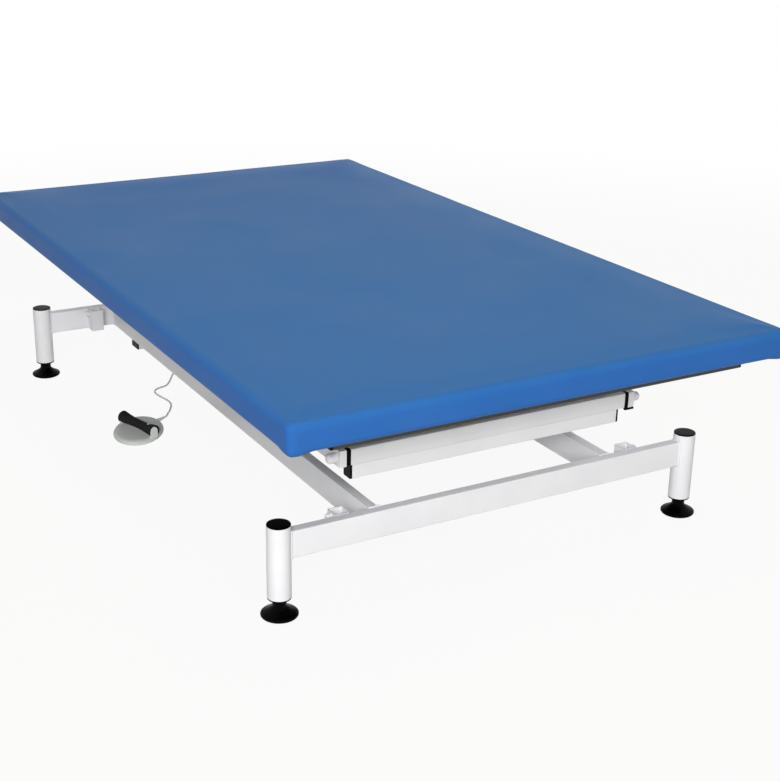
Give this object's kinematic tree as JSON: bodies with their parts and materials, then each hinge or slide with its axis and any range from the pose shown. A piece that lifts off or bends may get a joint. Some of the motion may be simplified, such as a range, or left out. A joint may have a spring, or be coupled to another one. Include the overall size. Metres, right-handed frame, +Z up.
{
  "type": "bobath table",
  "caption": "Electric treatment table: wide padded top on a parallel-arm lift over a welded tube base with levelling feet, square post sockets and a foot switch on a lead.",
  "frame": {"origin": "on the floor, under the middle of the padded top at its lowest setting", "axes": "+Z up, +Y along the table's length from the front end to the rear end, +X to the right seen from the front end"},
  "size_m": [1.19, 2, 0.509],
  "materials": {
    "blue_vinyl": "matte grained vinyl",
    "plywood": "sanded",
    "white_steel": "white powder coat",
    "black_plastic": "moulded, matte",
    "grey_plastic": "moulded, satin",
    "ground_steel": "ground",
    "grey_lead": "smooth sheath"
  },
  "bodies": {
    "base": {"base_crossbar_front": "white_steel", "base_crossbar_rear": "white_steel", "base_rail_left": "white_steel", "base_rail_right": "white_steel", "leg_front_left": "white_steel", "leg_front_right": "white_steel", "leg_rear_left": "white_steel", "leg_rear_right": "white_steel", "leg_cap_front_left": "black_plastic", "leg_cap_front_right": "black_plastic", "leg_cap_rear_left": "black_plastic", "leg_cap_rear_right": "black_plastic", "leg_insert_front_left": "black_plastic", "leg_insert_front_right": "black_plastic", "leg_insert_rear_left": "black_plastic", "leg_insert_rear_right": "black_plastic", "levelling_foot_front_left": "black_plastic", "levelling_foot_front_right": "black_plastic", "levelling_foot_rear_left": "black_plastic", "levelling_foot_rear_right": "black_plastic", "post_socket_front_left": "white_steel", "post_socket_front_right": "white_steel", "post_socket_rear_left": "white_steel", "post_socket_rear_right": "white_steel", "actuator_anchor_tube": "white_steel", "anchor_plug_left": "black_plastic", "anchor_plug_right": "black_plastic", "control_box": "grey_plastic", "foot_switch_base": "grey_plastic", "foot_switch_cable": "grey_lead"},
    "front_lift": {"front_lift_arm": "white_steel"},
    "rear_lift": {"rear_lift_arm": "white_steel"},
    "top": {"top_cushion": "blue_vinyl", "top_board": "plywood", "top_cross_tube_front": "white_steel", "top_cross_tube_rear": "white_steel", "top_rail_left": "white_steel", "top_rail_right": "white_steel", "top_tube_plug_front_left": "black_plastic", "top_tube_plug_front_right": "black_plastic", "top_tube_plug_rear_left": "black_plastic", "top_tube_plug_rear_right": "black_plastic", "front_pivot_bar": "white_steel", "front_pivot_cap_left": "black_plastic", "front_pivot_cap_right": "black_plastic", "front_pivot_axle": "white_steel", "front_lower_bar": "white_steel", "lower_bar_plug_left": "black_plastic", "lower_bar_plug_right": "black_plastic", "rear_pivot_bar": "white_steel", "rear_pivot_cap_left": "black_plastic", "rear_pivot_cap_right": "black_plastic", "rear_pivot_axle": "white_steel"},
    "actuator": {"actuator_housing": "grey_plastic"},
    "rod": {"actuator_rod": "ground_steel"},
    "rocker": {"foot_switch_rocker": "black_plastic"},
    "screw_front_left": {"clamp_screw_front_left": "white_steel"},
    "screw_front_right": {"clamp_screw_front_right": "white_steel"},
    "screw_rear_left": {"clamp_screw_rear_left": "white_steel"},
    "screw_rear_right": {"clamp_screw_rear_right": "white_steel"}
  },
  "joints": [
    {"name": "lift", "type": "hinge", "parent": "base", "child": "front_lift", "pos_m": [0, -0.136, 0.305], "axis": [-1, 0, 0], "range_deg": [0, 42]},
    {"name": "rear_lift", "type": "hinge", "parent": "base", "child": "rear_lift", "pos_m": [0, 0.7, 0.305], "axis": [-1, 0, 0], "range_deg": [0, 42]},
    {"name": "top_level", "type": "hinge", "parent": "front_lift", "child": "top", "pos_m": [0, -0.756, 0.305], "axis": [-1, 0, 0], "range_deg": [-42, 0]},
    {"name": "actuator_tilt", "type": "hinge", "parent": "base", "child": "actuator", "pos_m": [0, 0.54, 0.13], "axis": [1, 0, 0], "range_deg": [0, 3.26]},
    {"name": "rod_slide", "type": "slide", "parent": "actuator", "child": "rod", "axis": [0, -0.9983, 0.0582], "range_m": [0, 0.1202]},
    {"name": "rocker_tilt", "type": "hinge", "parent": "base", "child": "rocker", "pos_m": [-0.4325, 0.246, 0.0265], "axis": [-0.2656, 0.9641, 0], "range_deg": [-8, 8], "stiffness_Nm_per_rad": 0.6},
    {"name": "clamp_front_left", "type": "slide", "parent": "base", "child": "screw_front_left", "axis": [-1, 0, 0], "range_m": [0, 0.01]},
    {"name": "clamp_front_right", "type": "slide", "parent": "base", "child": "screw_front_right", "axis": [1, 0, 0], "range_m": [0, 0.01]},
    {"name": "clamp_rear_left", "type": "slide", "parent": "base", "child": "screw_rear_left", "axis": [-1, 0, 0], "range_m": [0, 0.01]},
    {"name": "clamp_rear_right", "type": "slide", "parent": "base", "child": "screw_rear_right", "axis": [1, 0, 0], "range_m": [0, 0.01]}
  ],
  "couplings": [
    {"joint": "rear_lift", "follows": "lift", "ratio": 1},
    {"joint": "top_level", "follows": "lift", "ratio": -1},
    {"joint": "actuator_tilt", "follows": "lift", "ratio": 0.077578},
    {"joint": "rod_slide", "follows": "lift", "m_per_rad": 0.16395}
  ]
}
